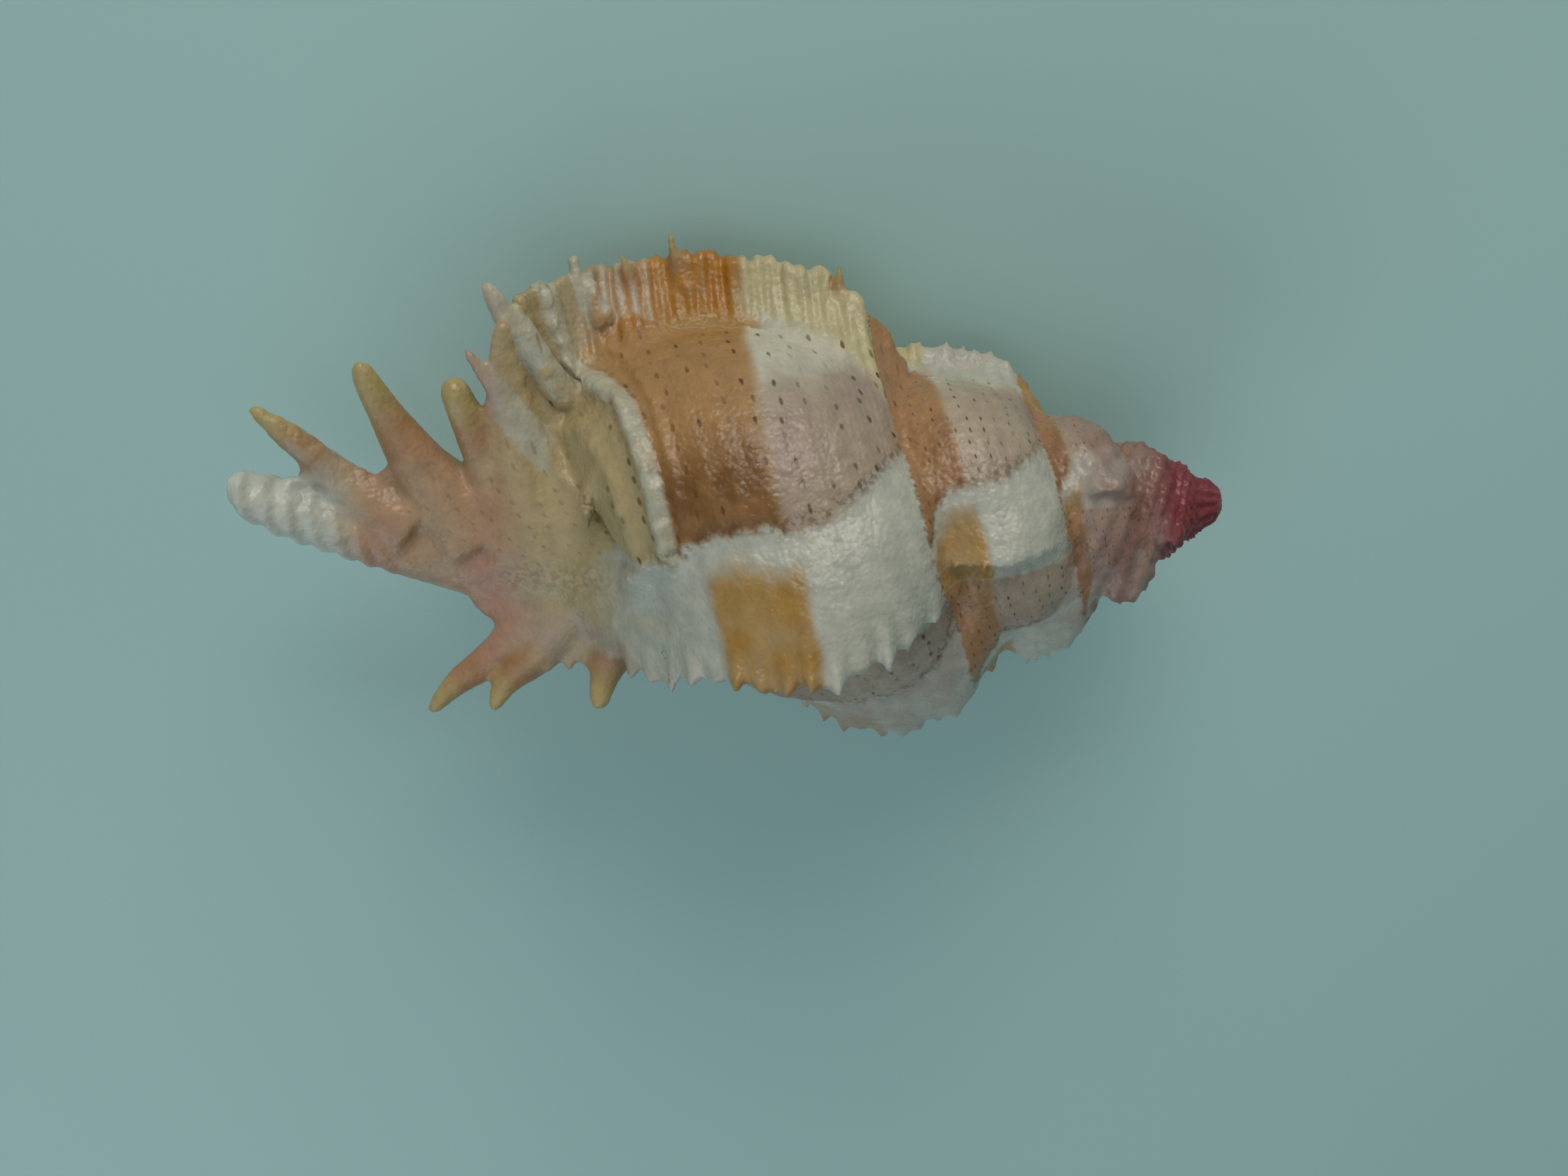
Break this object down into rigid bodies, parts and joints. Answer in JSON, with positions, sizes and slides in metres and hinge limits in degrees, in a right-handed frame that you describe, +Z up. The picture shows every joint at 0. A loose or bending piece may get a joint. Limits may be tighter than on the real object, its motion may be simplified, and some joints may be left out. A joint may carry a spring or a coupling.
{
  "type": "murex shell",
  "caption": "Small spindle-shaped sea snail shell with toothed wing-like varices, a spiny siphonal canal and a narrow mouth, lying on its aperture side.",
  "frame": {"origin": "centre of the bounding box on the ground plane the shell lies on", "axes": "X along the shell, apex towards -X and canal towards +X; Z up; the lip and its wing towards -Y"},
  "size_m": [0.0402, 0.0228, 0.017],
  "materials": {
    "shell": "satin calcareous shell, cream and white with orange-brown bands and brown dots"
  },
  "bodies": {
    "root": {"shell": "shell"}
  },
  "joints": []
}
